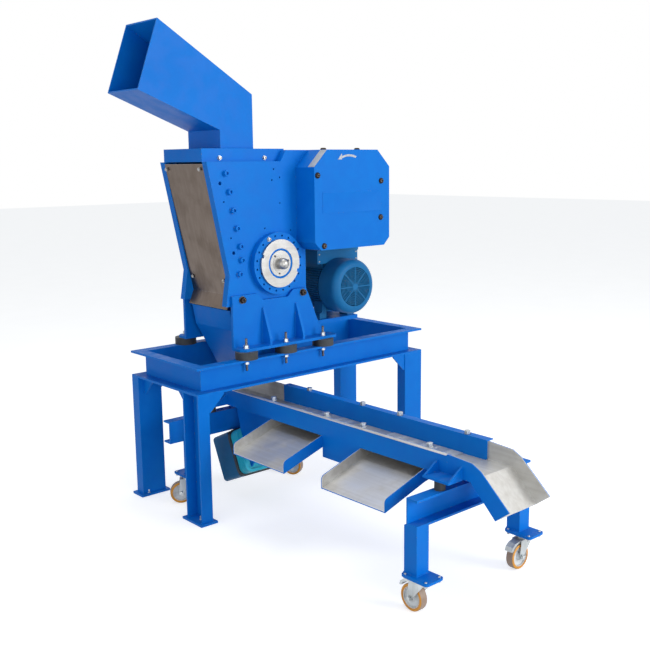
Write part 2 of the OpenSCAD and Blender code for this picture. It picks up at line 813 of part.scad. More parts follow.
// channel lining of the trough, folded over its sides
module channel_lining() {
    x0 = trough_x + wall;
    w = trough_w - 2 * wall;
    l = trough_y1 - trough_y0;
    hem_w = wall + hem + liner_t;
    translate([x0, trough_y0, trough_z + wall]) cube([w, l, liner_t]);
    for (x = [x0, x0 + w - liner_t])
        translate([x, trough_y0, trough_z + wall]) cube([liner_t, l, trough_h - wall + liner_t]);
    for (x = [trough_x - hem, x0 + w - liner_t])
        translate([x, trough_y0, trough_z + trough_h]) cube([hem_w, l, liner_t]);
}

// stainless linings of the trough, of its spout and of its side chutes
module trough_liner() color(sheet) {
    channel_lining();
    spout_lining();
    for (y = tray_y) chute_lining(y);
}

strip_y1 = 60;
strip_t = 6;
strip_w = 16;
guide_t = 4;
guide_b = 36;
// clamp strip on the left and angle guide on the right of the lining
module trough_guides() color(blue) {
    l = strip_y1 - trough_y0;
    guide_x = trough_x1 - wall - liner_t - guide_t;
    translate([trough_x + wall + liner_t, trough_y0, liner_top - 2 * strip_t])
        cube([strip_w, l, strip_t]);
    translate([guide_x, trough_y0, trough_z + wall + liner_t])
        cube([guide_t, l, liner_top + guide_t - trough_z - wall - liner_t]);
    translate([guide_x, trough_y0, liner_top]) cube([guide_b, l, guide_t]);
}

// the spout's outline, level as far as its bend and then falling at 45 degrees
spout_t = 4;
spout_z = trough_z + 10;
bend_l = 108;
fall = 111;
lip_l = 54;
lip_rise = 41;
brow_y = trough_y0 - 110;
brow_z = liner_top - 7;
crown_y = trough_y0 - 150;
crown_z = liner_top - 27;
bend_y = trough_y0 - bend_l;
tip_y = bend_y - fall;
tip_z = spout_z - fall;
spout_pts = [[trough_y0, spout_z], [trough_y0, liner_top], [brow_y, brow_z], [crown_y, crown_z],
    [tip_y - lip_l, tip_z + lip_rise], [tip_y, tip_z], [bend_y, spout_z]];

// sheet under the line of the spout's floor, t thick, from y down the slope
function floor_pts(y, top, t) = [[y, spout_z + top], [bend_y - 0.41 * top, spout_z + top],
    [tip_y - 0.71 * top, tip_z + 0.71 * top], [tip_y - 0.71 * (top - t), tip_z + 0.71 * (top - t)],
    [bend_y - 0.41 * (top - t), spout_z + top - t], [y, spout_z + top - t]];

module spout() color(blue) {
    rib(spout_pts, trough_x, trough_x + spout_t);
    rib(spout_pts, trough_x1 - spout_t, trough_x1);
    rib(floor_pts(trough_y0, 0, spout_t), trough_x, trough_x1);
}

module spout_lining() {
    xa = trough_x + spout_t;
    xb = trough_x1 - spout_t;
    translate([0, -1, 0]) {
        rib(spout_pts, xa, xa + lining_t);
        rib(spout_pts, xb - lining_t, xb);
        rib(floor_pts(trough_y0, lining_t, lining_t), xa, xb);
    }
}

// a side chute's section across the trough, from its low front end
tray_t = 4;
tray_x0 = trough_x - 202;
tray_z0 = trough_z - 113;
tray_h = 48;
tray_r = 20;
tray_in = 5;
tray_m = tray_h / (trough_x - tray_x0 - tray_t) + 0.085;
tray_back = trough_x1 - tray_in;
tray_mid = tray_z0 + 65;
tray_end = trough_z - 8;
tray_dip = tray_t * (tray_mid - tray_z0) / (trough_x - tray_x0);
tray_arc = tray_z0 + tray_h + tray_r * (tray_m - sqrt(1 + tray_m * tray_m));

// outline of a chute's side wall, raised by up, its low corner rounded
module tray_wall(up) {
    cosine = 1 / sqrt(1 + tray_m * tray_m);
    polygon([[tray_x0, tray_z0 + up], [tray_x0, tray_arc], [tray_x0 + tray_r, tray_arc],
        [tray_x0 + tray_r * (1 - tray_m * cosine), tray_arc + tray_r * cosine],
        [trough_x - tray_t, tray_z0 + tray_h + tray_m * (trough_x - tray_t - tray_x0)],
        [trough_x - tray_t, tray_mid + up], [trough_x - tray_t - 1, tray_mid + up - 0.3]]);
    translate([tray_x0 + tray_r, tray_arc]) circle(tray_r);
}

// sheet along a chute's floor, from z0 to z1 above its line
module tray_floor(z0, z1)
    polygon([[tray_x0, tray_z0 + z0], [trough_x, tray_mid + z0], [tray_back, tray_end + z0],
        [tray_back, tray_end + z1], [trough_x, tray_mid + z1], [tray_x0, tray_z0 + z1]]);

// wall of a chute under the trough, up to its bottom face
module tray_under(z)
    polygon([[trough_x - tray_t, tray_mid + z - tray_dip], [trough_x, tray_mid + z],
        [tray_back, tray_end + z], [tray_back, trough_z], [trough_x - tray_t, trough_z]]);

module side_chute(y) {
    for (w = [y, y + tray_w - tray_t])
        drawn(w, w + tray_t) {
            tray_wall(0);
            tray_under(0);
        }
    drawn(y, y + tray_w) tray_floor(0, tray_t);
}

module chute_lining(y) {
    ya = y + tray_t;
    yb = y + tray_w - tray_t;
    for (w = [ya, yb - lining_t])
        drawn(w, w + lining_t) {
            tray_wall(tray_t);
            tray_under(tray_t);
        }
    drawn(ya, yb) tray_floor(tray_t, tray_t + lining_t);
}

module side_chute_rear() color(blue) side_chute(tray_y[0]);

module side_chute_front() color(blue) side_chute(tray_y[1]);

seal_t = 14;
seal_over = 4;
seal_r = 36;
case_r = 18;
dish_d = 26;
dish_in = 12;
// vibrating drive: case, seal and dished front
module drive_unit() color(teal)
    translate([drive_x, drive_y, drive_z]) rotate([-drive_tilt, 0, 0]) {
        drawn(seal_t / 2, drive_back) rounded(drive_w, drive_h, case_r);
        drawn(-seal_t / 2, seal_t / 2)
            rounded(drive_w + 2 * seal_over, drive_h + 2 * seal_over, seal_r + seal_over);
        difference() {
            drawn(-drive_front, -seal_t / 2)
                rounded(drive_w - 2 * seal_over, drive_h - 2 * seal_over, seal_r - seal_over);
            drawn(-drive_front - 1, -drive_front + dish_d)
                rounded(drive_w - 2 * seal_over - 2 * dish_in, drive_h - 2 * seal_over - 2 * dish_in,
                    seal_r - seal_over - dish_in + 4);
        }
    }

post_x = 98;
castor_h = 128;
pad_t = 8;
plate_over = 4;
castor_plate_t = 4;
pad_b = 90;
pad_l = 125;
pad_r = 14;
pad_out = 20;
pin_r = 8;
pin_l = 14;
post_wall = 4;
pad_z = castor_h + castor_plate_t;
// post with its castor pad, the pad standing out by pad_l from y on the side s
module post(x, y, s) {
    py = s < 0 ? y + post_b - pad_l : y;
    translate([x, y, pad_z + pad_t]) difference() {
        cube([post_b, post_b, beam_z - pad_z - pad_t]);
        translate([post_wall, post_wall, -1])
            cube([post_b - 2 * post_wall, post_b - 2 * post_wall, beam_z]);
    }
    translate([x - pad_out + pad_b / 2, py + pad_l / 2, 0]) {
        translate([0, 0, pad_z]) linear_extrude(pad_t) rounded(pad_b, pad_l, pad_r);
        translate([0, 0, castor_h]) linear_extrude(castor_plate_t)
            rounded(pad_b - 2 * plate_over, pad_l - 2 * plate_over, pad_r);
        translate([0, 0, castor_h - pin_l]) cylinder(r = pin_r, h = pin_l);
    }
}

pad_cx = [for (d = [0, post_pitch]) post_x + d - pad_out + pad_b / 2];
rear_in_y = rear_y - (post_b - beam_w);
pad_cy = [beam_y + post_b - pad_l / 2, rear_in_y + pad_l / 2];
rail_web = 6;
rail_flange = 8;
beam_x1 = post_x + post_pitch + post_b;
module trolley_front() color(blue) {
    translate([post_x, beam_y, beam_z]) channel(beam_x1 - post_x, trolley_d, beam_w, rail_web, rail_flange);
    for (x = [post_x, post_x + post_pitch]) post(x, beam_y, -1);
}

rail_b = 50;
rail_drop = 3;
rear_over = 60;
module trolley_rear() color(blue) {
    translate([0, rear_y + beam_w, 0]) mirror([0, 1, 0])
        translate([0, 0, beam_z])
            channel(beam_x1 + rear_over, trolley_d, beam_w, rail_web, rail_flange);
    for (x = [post_x, post_x + post_pitch]) post(x, rear_in_y, 1);
    translate([beam_x1 - rail_b, beam_y + beam_w, beam_z + trolley_d - rail_b - rail_drop])
        cube([rail_b, rear_y - beam_y - beam_w, rail_b]);
}

head_r = 30;
head_t = 15;
fork_gap = 4;
fork_in = wheel_b / 2 + fork_gap;
fork_t = 3;
axle_r = 6;
eye = 12;
run_gap = 0.06;
head_z0 = castor_h - head_t - 1;
bolt_over = 4;
// pedal of the brake, in front of the wheel's top
pedal_b = 34;
pedal_pts = [[head_r - 12, -3], [trail + 4, 4], [trail + 32, -2], [trail + 50, -14],
    [trail + 56, -30], [trail + 46, -30], [trail + 38, -18], [trail + 24, -9], [trail - 2, -4],
    [head_r - 12, -9]];
// castor fork about its swivel axis, the wheel trailing towards +X
module fork(lever) {
    side = fork_in + fork_t;
    difference() {
        union() {
            translate([0, 0, head_z0]) cylinder(r = head_r, h = head_t);
            translate([-head_r + 4, -side, head_z0]) cube([2 * head_r + 8, 2 * side, 4]);
        }
        translate([0, 0, head_z0 - 1]) cylinder(r = pin_r + run_gap, h = head_t + 2);
    }
    for (y = [-side, fork_in])
        drawn(y, y + fork_t) {
            polygon([[-head_r + 4, head_z0 + 4], [head_r + 12, head_z0 + 4],
                [trail + eye - 0.3, wheel_r + 3], [trail, wheel_r], [trail - eye, wheel_r + 1]]);
            translate([trail, wheel_r]) circle(eye);
        }
    translate([trail, side + bolt_over, wheel_r]) rotate([90, 0, 0])
        cylinder(r = axle_r, h = 2 * (side + bolt_over));
    if (lever)
        translate([0, 0, head_z0]) slab(pedal_pts, -pedal_b / 2, pedal_b / 2);
}

tyre_t = 9;
tyre_in = 1.5;
round_r = 5;
web_half = 8;
boss_r = 14;
boss_over = 2;
rim_t = 5;
core_r = wheel_r - tyre_t;
rim_r = core_r - rim_t;
// wheel with a tread, a sunk web and a boss
module wheel() {
    half = wheel_b / 2;
    rotate([90, 0, 0]) rotate_extrude() {
        translate([axle_r + run_gap, -half - boss_over])
            square([boss_r - axle_r, wheel_b + 2 * boss_over]);
        translate([axle_r + run_gap, -web_half]) square([rim_r - axle_r + 1, 2 * web_half]);
        translate([rim_r, -half + tyre_in]) square([rim_t + 1, wheel_b - 2 * tyre_in]);
        translate([core_r, -half]) square([tyre_t - round_r, wheel_b]);
        translate([core_r, -half + round_r]) square([tyre_t, wheel_b - 2 * round_r]);
        for (v = [-half + round_r, half - round_r])
            translate([wheel_r - round_r, v]) circle(round_r);
    }
}

turn = [90, 180, -65, 150];
module at_fork(i) {
    translate([pad_cx[i == 0 || i == 3 ? 0 : 1], pad_cy[i < 2 ? 0 : 1], 0])
        rotate([0, 0, turn[i]]) children();
}

module fork_front_left() color(steel) at_fork(0) fork(true);
module fork_front_right() color(steel) at_fork(1) fork(true);
module fork_rear_right() color(steel) at_fork(2) fork(false);
module fork_rear_left() color(steel) at_fork(3) fork(false);

module wheel_front_left() color(amber) at_fork(0) translate([trail, 0, wheel_r]) wheel();
module wheel_front_right() color(amber) at_fork(1) translate([trail, 0, wheel_r]) wheel();
module wheel_rear_right() color(amber) at_fork(2) translate([trail, 0, wheel_r]) wheel();
module wheel_rear_left() color(amber) at_fork(3) translate([trail, 0, wheel_r]) wheel();

ring_front();
ring_back();
ring_left();
ring_right();
leg_front_left();
leg_back_left();
leg_front_right();
leg_back_right();
side_plate_near();
side_plate_far();
front_cover();
jaws();
rear_cover();
top_box();
feed_chute();
hopper();
bracket_near();
bracket_far();
stand_buffers();
hub_flanges();
clamp_rings();
hub_shaft();
flywheel_guard();
belt_guard();
motor_body();
fan_cowl();
motor_base();
trough_body();
trough_liner();
trough_guides();
spout();
side_chute_rear();
side_chute_front();
drive_unit();
trough_buffers();
trolley_front();
trolley_rear();
fork_front_left();
fork_front_right();
fork_rear_right();
fork_rear_left();
wheel_front_left();
wheel_front_right();
wheel_rear_right();
wheel_rear_left();
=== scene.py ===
# %% [markdown]
# A fine crusher for ore and stone samples, dressed for a studio view.
# The imported CAD model is the fixed frame: every solid is already in its place, in metres.
# Here the solids get their finishes, and the small things that CAD leaves out are modelled:
# screws, studs, the perforated deck, weld beads and the fittings of the castors.

import json
import math

import bmesh
import bpy
from mathutils import Euler, Matrix, Vector


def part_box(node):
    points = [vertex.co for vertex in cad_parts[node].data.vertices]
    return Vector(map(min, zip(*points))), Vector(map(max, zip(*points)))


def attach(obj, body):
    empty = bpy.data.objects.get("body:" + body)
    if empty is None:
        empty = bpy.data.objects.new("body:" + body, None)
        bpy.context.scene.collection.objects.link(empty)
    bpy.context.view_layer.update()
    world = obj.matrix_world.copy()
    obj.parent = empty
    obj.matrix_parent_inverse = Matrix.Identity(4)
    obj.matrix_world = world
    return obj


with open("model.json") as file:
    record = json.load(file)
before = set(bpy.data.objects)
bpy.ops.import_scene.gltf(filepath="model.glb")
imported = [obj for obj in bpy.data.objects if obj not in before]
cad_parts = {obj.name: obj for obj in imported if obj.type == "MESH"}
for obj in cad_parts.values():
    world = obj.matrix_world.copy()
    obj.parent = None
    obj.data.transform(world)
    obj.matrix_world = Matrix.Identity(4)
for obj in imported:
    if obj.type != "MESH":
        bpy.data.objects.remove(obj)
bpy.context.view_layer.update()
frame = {"nodes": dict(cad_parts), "record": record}
nodes = frame["nodes"]
slot_of = {part["node"]: part["material_slot"] for part in frame["record"]["subparts"]}

# %% [markdown]
# ## Camera
# The photograph was taken from the front left corner of the stand, at chest height.
# A lens is set by its length against the 36 mm sensor. The small shift says that the
# picture was trimmed a little off centre, so the camera itself keeps its true direction.

# %% Camera
PICTURE = 650  # pixels each way
FOCAL = 912.5  # pixels
CENTRE = (336.65, 322.31)  # where the lens axis meets the picture, in pixels

camera = bpy.data.objects.new("camera", bpy.data.cameras.new("camera"))
bpy.context.scene.collection.objects.link(camera)
bpy.context.scene.camera = camera
camera.location = (-2.0386, -3.1644, 1.5348)
camera.rotation_euler = [math.radians(a) for a in (80.083, 0.561, -41.837)]
camera.data.sensor_width = 36.0
camera.data.lens = FOCAL / PICTURE * 36.0
camera.data.shift_x = (PICTURE / 2 - CENTRE[0]) / PICTURE
camera.data.shift_y = (CENTRE[1] - PICTURE / 2) / PICTURE
camera.data.clip_end = 60
bpy.context.scene.view_settings.view_transform = "Standard"
print("lens", round(camera.data.lens, 2), "mm")

# %% [markdown]
# ## Shader maths
# A material is a small calculation that runs at every point of a surface. Written as
# Python expressions it stays readable: a Signal is one socket, and adding or multiplying
# two of them adds the Math node that does it. Colours go through Mix nodes instead,
# because a Math node would turn them grey.

# %% Signals and finishes


class Signal:
    """One output socket of a finish, with the arithmetic that the finishes below use."""

    def __init__(self, finish, socket):
        self.finish, self.socket = finish, socket

    def _math(self, operation, *values, clamp=False):
        settings = {"operation": operation, "use_clamp": clamp}
        return self.finish.node("Math", settings, dict(enumerate(values)))

    def __add__(self, other):
        return self._math("ADD", self, other)

    def __sub__(self, other):
        return self._math("SUBTRACT", self, other)

    def __rsub__(self, other):
        return self._math("SUBTRACT", other, self)

    def __mul__(self, other):
        return self._math("MULTIPLY", self, other)

    __radd__, __rmul__ = __add__, __mul__

    def largest(self, other):
        return self._math("MAXIMUM", self, other)

    def ramp(self, low, high):
        """0 below low, 1 above high, and a smooth step between them."""
        settings = {"interpolation_type": "SMOOTHSTEP"}
        return self.finish.node("MapRange", settings, {0: self, 1: low, 2: high})


class Finish:
    """One material, built node by node."""

    def __init__(self, name, **constants):
        self.material = bpy.data.materials.new(name)
        self.material.use_nodes = True
        self.tree = self.material.node_tree
        self.shader = self.tree.nodes["Principled BSDF"]
        for socket, value in constants.items():
            self.shader.inputs[socket.replace("_", " ")].default_value = value
        self.place = self.node("TexCoord", {}, {}, "Object")
        self.normal = self.node("NewGeometry", {}, {}, "Normal")

    def node(self, kind, settings, inputs, output=0):
        """Any node: its type, its settings, and the values or signals of its sockets."""
        made = self.tree.nodes.new("ShaderNode" + kind)
        for name, value in settings.items():
            if name == "stops":
                for stop, (at, colour) in zip(made.color_ramp.elements, value):
                    stop.position, stop.color = at, colour
            else:
                setattr(made, name, value)
        for key, value in inputs.items():
            if isinstance(value, Signal):
                self.tree.links.new(value.socket, made.inputs[key])
            else:
                made.inputs[key].default_value = value
        return Signal(self, made.outputs[output])

    def noise(self, scale, detail=3.0, stretch=None):
        """Even noise about 0.5; stretch scales it along X, Y and Z, as a brushed grain."""
        at = self.place
        if stretch:
            at = self.node("Mapping", {}, {0: at, "Scale": stretch})
        return self.node("TexNoise", {}, {"Vector": at, "Scale": scale, "Detail": detail})

    def edges(self, radius):
        """1 where the surface turns a corner within radius, 0 on the flat."""
        soft = self.node("Bevel", {"samples": 6}, {"Radius": radius})
        same = self.node("VectorMath", {"operation": "DOT_PRODUCT"}, {0: soft, 1: self.normal}, 1)
        return (1 - same).ramp(0.004, 0.10)

    def facing(self, axis):
        """How far the surface faces up (2), back (1) or right (0), from -1 to 1."""
        return self.node("SeparateXYZ", {}, {0: self.normal}, axis)

    def mix(self, factor, first, second):
        """One colour into another."""
        return self.node("Mix", {"data_type": "RGBA"}, {0: factor, 6: first, 7: second}, 2)

    def bump(self, height, strength, distance, under=None):
        """A relief; distance is how deep it is in metres, and under a relief below it."""
        inputs = {"Height": height, "Strength": strength, "Distance": distance}
        if under:
            inputs["Normal"] = under
        return self.node("Bump", {}, inputs)

    def feed(self, **signals):
        for socket, signal in signals.items():
            self.tree.links.new(signal.socket, self.shader.inputs[socket.replace("_", " ")])
        return self.material


def rgb(red, green, blue):
    """A screen colour, 0 to 255 each, as the linear light that a shader works in."""
    light = []
    for part in (red, green, blue):
        part /= 255
        light.append(part / 12.92 if part <= 0.04045 else ((part + 0.055) / 1.055) ** 2.4)
    return (*light, 1.0)


print(rgb(15, 115, 220))

# %% [markdown]
# ## Paint
# The steelwork is sprayed in one bright blue. Spray paint dries with a fine ripple called
# orange peel, runs thin on sharp edges, and gathers pale dust on what faces up. The edge
# mask compares a rounded normal with the true one, so it finds the corners of any solid.

# %% Paint


def paint(name, colour, pale, dark, roughness, chips=0.62):
    """Sprayed enamel: ripple, faint blotches, thin edges, dust, and a few small chips."""
    finish = Finish(name, Metallic=0.0, Specular_IOR_Level=0.12)
    blotch = finish.noise(3.0, 4.0).ramp(0.35, 0.68)
    cloud = finish.noise(14.0, 5.0).ramp(0.38, 0.66)
    grit = finish.noise(240.0, 2.0)
    edge = finish.edges(0.0025)
    dust = finish.facing(2).ramp(0.5, 0.95) * finish.noise(22.0, 5.0).ramp(0.42, 0.72)
    chip = edge * (finish.noise(95.0, 3.0).ramp(chips, chips + 0.03))
    body = finish.mix(0.25 * blotch, colour, dark)
    body = finish.mix(0.07 * cloud, body, pale)
    body = finish.mix(0.20 * edge, body, pale)
    body = finish.mix(0.06 * dust, body, rgb(165, 180, 195))
    body = finish.mix(chip, body, rgb(120, 122, 124))
    rough = roughness + 0.10 * cloud + 0.25 * dust + 0.10 * grit
    ripple = finish.bump(finish.noise(420.0, 2.0), 0.35, 0.0004)
    relief = finish.bump(1 - chip, 0.6, 0.0003, ripple)
    return finish.feed(Base_Color=body, Roughness=rough, Normal=relief)


blue = paint("blue paint", rgb(0, 108, 200), rgb(8, 146, 224), rgb(0, 94, 184), 0.36)
motor_paint = paint("motor paint", rgb(24, 106, 160), rgb(66, 146, 190), rgb(14, 74, 124), 0.33)
drive_dark = paint("drive paint, dark", rgb(18, 96, 140), rgb(48, 136, 176), rgb(10, 70, 110), 0.36)
drive_light = paint("drive paint, light", rgb(44, 186, 206), rgb(120, 224, 234), rgb(24, 146, 170), 0.22)

# %% [markdown]
# ## Steel
# Bare steel shows how it was worked. Sheet from the mill has a fine grain along its
# length, a turned face has rings, and what carries ore is scuffed and dulled in patches.
# The same recipe serves each, with its own colour, grain direction and amount of dirt.

# %% Steel


def steel(name, colour, smudge, roughness, grain, smear=0.5, spots=0.0):
    """Bare or plated steel, with a grain, scuffs, darker handling marks and a painted highlight along
    its edges.
    """
    finish = Finish(name, Metallic=1.0)
    lines = finish.noise(60.0, 6.0, grain)
    marks = finish.noise(9.0, 6.0).ramp(0.42, 0.70)
    haze = finish.noise(2.6, 3.0).ramp(0.36, 0.66)
    pits = finish.noise(160.0, 2.0).ramp(0.66, 0.74)
    edge = finish.edges(0.0015)
    body = finish.mix(smear * marks, colour, smudge)
    body = finish.mix(0.35 * smear * haze, body, smudge)
    body = finish.mix(0.22 * lines.ramp(0.35, 0.65), body, smudge)
    body = finish.mix(spots * pits, body, rgb(70, 52, 38))
    # painted highlight: every edge is mixed halfway to near white, as if lit
    body = finish.mix(0.5 * edge, body, rgb(225, 226, 228))
    rough = roughness + 0.14 * lines + 0.18 * marks
    relief = finish.bump(lines, 0.25, 0.0002)
    return finish.feed(Base_Color=body, Roughness=rough, Normal=relief)


along_x, along_y, along_z = (0.04, 1, 1), (1, 0.04, 1), (1, 1, 0.04)
bright = steel("bright steel", rgb(182, 182, 180), rgb(128, 124, 120), 0.26, along_x, 0.4)
sheet_steel = steel("stainless sheet", rgb(206, 206, 204), rgb(150, 145, 138), 0.42, along_y, 0.4)
# the cover's dark brownish colour and smudges are a painted reflection of a dark room
cover_steel_painted_reflection = steel("stainless cover, painted dark reflection", rgb(118, 106, 98), rgb(84, 72, 62), 0.24, along_z, 0.3)
screen_steel = steel("screen plate", rgb(222, 225, 226), rgb(170, 172, 172), 0.36, along_y, 0.3)
zinc = steel("zinc plate", rgb(200, 206, 208), rgb(138, 140, 138), 0.26, along_z, 0.4)
dark_bolt = steel("blackened bolt", rgb(62, 54, 50), rgb(36, 28, 24), 0.42, along_z, 0.6, 0.6)

# %% [markdown]
# ## Rubber and castor tread
# The buffers are black rubber, dulled grey by dust. The castor treads are cast amber
# polyurethane, smooth, with a brown line of dirt where they roll.

# %% Rubber and plastics


def moulded(name, colour, worn, roughness, ripple=0.0003):
    """Rubber or plastic from a mould: a matt skin, scuffs and settled dust."""
    finish = Finish(name, Metallic=0.0)
    scuff = finish.noise(26.0, 5.0).ramp(0.45, 0.72)
    grit = finish.noise(300.0, 2.0)
    edge = finish.edges(0.002)
    dust = finish.facing(2).ramp(0.3, 0.9) * finish.noise(40.0, 4.0).ramp(0.35, 0.7)
    body = finish.mix(0.45 * scuff, colour, worn)
    body = finish.mix(0.4 * edge, body, worn)
    body = finish.mix(0.35 * dust, body, rgb(150, 146, 138))
    rough = roughness + 0.15 * scuff + 0.1 * grit
    return finish.feed(Base_Color=body, Roughness=rough, Normal=finish.bump(grit, 0.4, ripple))


rubber = moulded("black rubber", rgb(34, 38, 42), rgb(72, 76, 80), 0.55)
tread = moulded("castor tread", rgb(208, 140, 24), rgb(148, 100, 44), 0.34, 0.0001)
worn_tread = moulded("worn tread", rgb(150, 128, 112), rgb(120, 98, 80), 0.45, 0.0002)
wheel_core = moulded("castor centre", rgb(206, 210, 212), rgb(160, 160, 156), 0.4, 0.0001)
red_seal = moulded("castor seal", rgb(176, 40, 34), rgb(120, 44, 40), 0.4, 0.0001)
grey_mark_and_reflection = moulded("grey marking and painted reflection", rgb(176, 180, 186), rgb(150, 154, 160), 0.5, 0.0001)

# %% [markdown]
# ## Finishes on the solids
# Each solid names its finish in the record. A few are told apart here: the castor wheels
# have a tread on a paler centre, and the front cover is a more polished sheet whose dark,
# brownish colour is a painted reflection of a dark room.

# %% Give every solid its finish
by_slot = {
    "blue_paint": blue,
    "bright_steel": bright,
    "black_rubber": rubber,
    "motor_paint": motor_paint,
    "drive_paint": drive_light,
    "stainless_sheet": sheet_steel,
    "zinc_plate": zinc,
    "castor_tread": tread,
}
for name, solid in nodes.items():
    solid.data.materials.clear()
    solid.data.materials.append(by_slot[slot_of[name]])
# the front cover takes the steel whose dark colour is a painted reflection
nodes["front_cover"].data.materials[0] = cover_steel_painted_reflection


def add_finish(name, finish, test):
    """Gives a second finish to the faces of a solid whose centre passes the test."""
    data = nodes[name].data
    data.materials.append(finish)
    last = len(data.materials) - 1
    place = nodes[name].matrix_world
    count = 0
    for face in data.polygons:
        if test(place @ face.center):
            face.material_index = last
            count += 1
    print(name, count, "faces of", len(data.polygons), "in", finish.name)


# where each castor turns under its pad
STOPS = {"front_left": (0.123, -1.1685), "front_right": (0.693, -1.1685),
         "rear_right": (0.693, 0.2885), "rear_left": (0.123, 0.2885)}
for name in [n for n in nodes if n.startswith("wheel_")]:
    low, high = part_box(name)
    hub_at = (Vector(low) + Vector(high)) / 2
    add_finish(name, wheel_core, lambda p, at=hub_at: (p - at).length < 0.0415)

for name in [n for n in nodes if n.startswith("wheel_")]:
    low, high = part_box(name)
    hub_at = (Vector(low) + Vector(high)) / 2
    stop = Vector((*STOPS[name[6:]], hub_at.z))
    ahead = (hub_at - stop).normalized()
    across = Vector((-ahead.y, ahead.x, 0))
    add_finish(name, worn_tread,
               lambda p, at=hub_at, side=across: (p - at - side * ((p - at) @ side)).length > 0.0485)

TILT = math.radians(25)
DRIVE = Vector((0.4045, 0.175, 0.215))


def drive_depth(p):
    """How far back a point is along the axis of the tilted drive unit, from its seal."""
    return (p.y - DRIVE.y) * math.cos(TILT) - (p.z - DRIVE.z) * math.sin(TILT)


add_finish("drive_unit", rubber, lambda p: abs(drive_depth(p)) <= 0.0075)
add_finish("drive_unit", drive_dark, lambda p: drive_depth(p) > 0.0075)

# %% [markdown]
# ## Modelling by hand, in code
# Each new piece starts as a primitive and is shaped in edit mode, as it would be with the
# mouse: pick some faces, then extrude, inset, bevel or scale them. Three small helpers keep
# that short. The last one gives a finished piece its name, finish and body.

# %% Helpers for modelling


def clear():
    bpy.ops.object.select_all(action="DESELECT")


def primitive(kind, at=(0, 0, 0), turn=(0, 0, 0), **size):
    """Adds a primitive at its place, alone in the selection, and opens it for editing."""
    clear()
    getattr(bpy.ops.mesh, f"primitive_{kind}_add")(location=at, rotation=turn, **size)
    bpy.ops.object.transform_apply(location=True, rotation=True, scale=True)
    bpy.ops.object.mode_set(mode="EDIT")
    return bpy.context.object


def pick(piece, test, mode="FACE"):
    """Selects the faces, edges or corners whose centre and normal pass the test."""
    bpy.ops.mesh.select_mode(type=mode)
    bpy.ops.mesh.select_all(action="DESELECT")
    mesh = bmesh.from_edit_mesh(piece.data)
    if mode == "FACE":
        chosen = [f for f in mesh.faces if test(f.calc_center_median(), f.normal)]
    elif mode == "EDGE":
        chosen = [e for e in mesh.edges if test(*(v.co for v in e.verts))]
    else:
        chosen = [v for v in mesh.verts if test(v.co)]
    for part in chosen:
        part.select_set(True)
    mesh.select_flush_mode()
    bmesh.update_edit_mesh(piece.data)
    return len(chosen)


def extrude(move=(0, 0, 0), scale=None, about=None):
    """Extrudes what is selected, moves it, and scales it about a point."""
    bpy.ops.mesh.extrude_region_move(TRANSFORM_OT_translate={"value": move})
    if scale:
        bpy.ops.transform.resize(value=scale, center_override=about or (0, 0, 0))


def modifier(piece, kind, **settings):
    """Adds a modifier and applies it, out of edit mode."""
    if bpy.context.mode != "OBJECT":
        bpy.ops.object.mode_set(mode="OBJECT")
    clear()
    piece.select_set(True)
    bpy.context.view_layer.objects.active = piece
    made = piece.modifiers.new(kind, kind)
    for name, value in settings.items():
        setattr(made, name, value)
    bpy.ops.object.modifier_apply(modifier=made.name)


def finish_piece(piece, name, finish, body="machine", smooth=35):
    """Closes the edit, turns the faces outwards and gives the piece its place in the model."""
    if bpy.context.mode != "OBJECT":
        bpy.ops.object.mode_set(mode="OBJECT")
    clear()
    piece.select_set(True)
    bpy.context.view_layer.objects.active = piece
    bpy.ops.object.transform_apply(location=True, rotation=True, scale=True)
    bpy.ops.object.mode_set(mode="EDIT")
    bpy.ops.mesh.select_all(action="SELECT")
    bpy.ops.mesh.remove_doubles(threshold=1e-6)
    bpy.ops.mesh.normals_make_consistent(inside=False)
    bpy.ops.object.mode_set(mode="OBJECT")
    bpy.ops.object.shade_smooth_by_angle(angle=math.radians(smooth))
    piece.name = piece.data.name = name
    piece.data.materials.clear()
    piece.data.materials.append(finish.material if isinstance(finish, Finish) else finish)
    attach(piece, body)
    print(name, len(piece.data.polygons), "faces")
    return piece


def copies(master, name, places, finish, body="machine", smooth=35):
    """Copies of a master that stands on the XY plane, each set at a point and facing a way."""
    if bpy.context.mode != "OBJECT":
        bpy.ops.object.mode_set(mode="OBJECT")
    twins = []
    for at, facing in places:
        twin = master.copy()
        twin.data = master.data.copy()
        bpy.context.scene.collection.objects.link(twin)
        turn = Vector(facing).to_track_quat("Z", "Y").to_matrix().to_4x4()
        twin.matrix_world = Matrix.Translation(at) @ turn
        twins.append(twin)
    bpy.context.view_layer.update()
    clear()
    for twin in twins:
        twin.select_set(True)
    bpy.context.view_layer.objects.active = twins[0]
    if len(twins) > 1:
        bpy.ops.object.join()
    return finish_piece(bpy.context.object, name, finish, body, smooth)


# %% [markdown]
# ## Fasteners
# A machine like this is held by a few kinds of screw. Each kind is modelled once, standing
# on the XY plane with its head up, and copied to where the photograph shows it. The hexagon
# socket is a real recess, cut by a six sided prism, because a screw head without it looks
# like a rivet from close by.

# %% Screw masters
WASHER = 0.0024  # thickness, metres


def ring_of(radius, height, sides, at_z=0.0):
    """A prism that stands at a height, closed, and open for editing."""
    return primitive("cylinder", (0, 0, at_z + height / 2), radius=radius, depth=height, vertices=sides)


def cut_hexagon(head, width, top, depth):
    """Cuts a hexagon socket into the top of a head."""
    if bpy.context.mode != "OBJECT":
        bpy.ops.object.mode_set(mode="OBJECT")
    key = ring_of(width / math.sqrt(3), depth * 2, 6, top - depth)
    bpy.ops.object.mode_set(mode="OBJECT")
    modifier(head, "BOOLEAN", operation="DIFFERENCE", object=key, solver="EXACT")
    bpy.data.objects.remove(key)


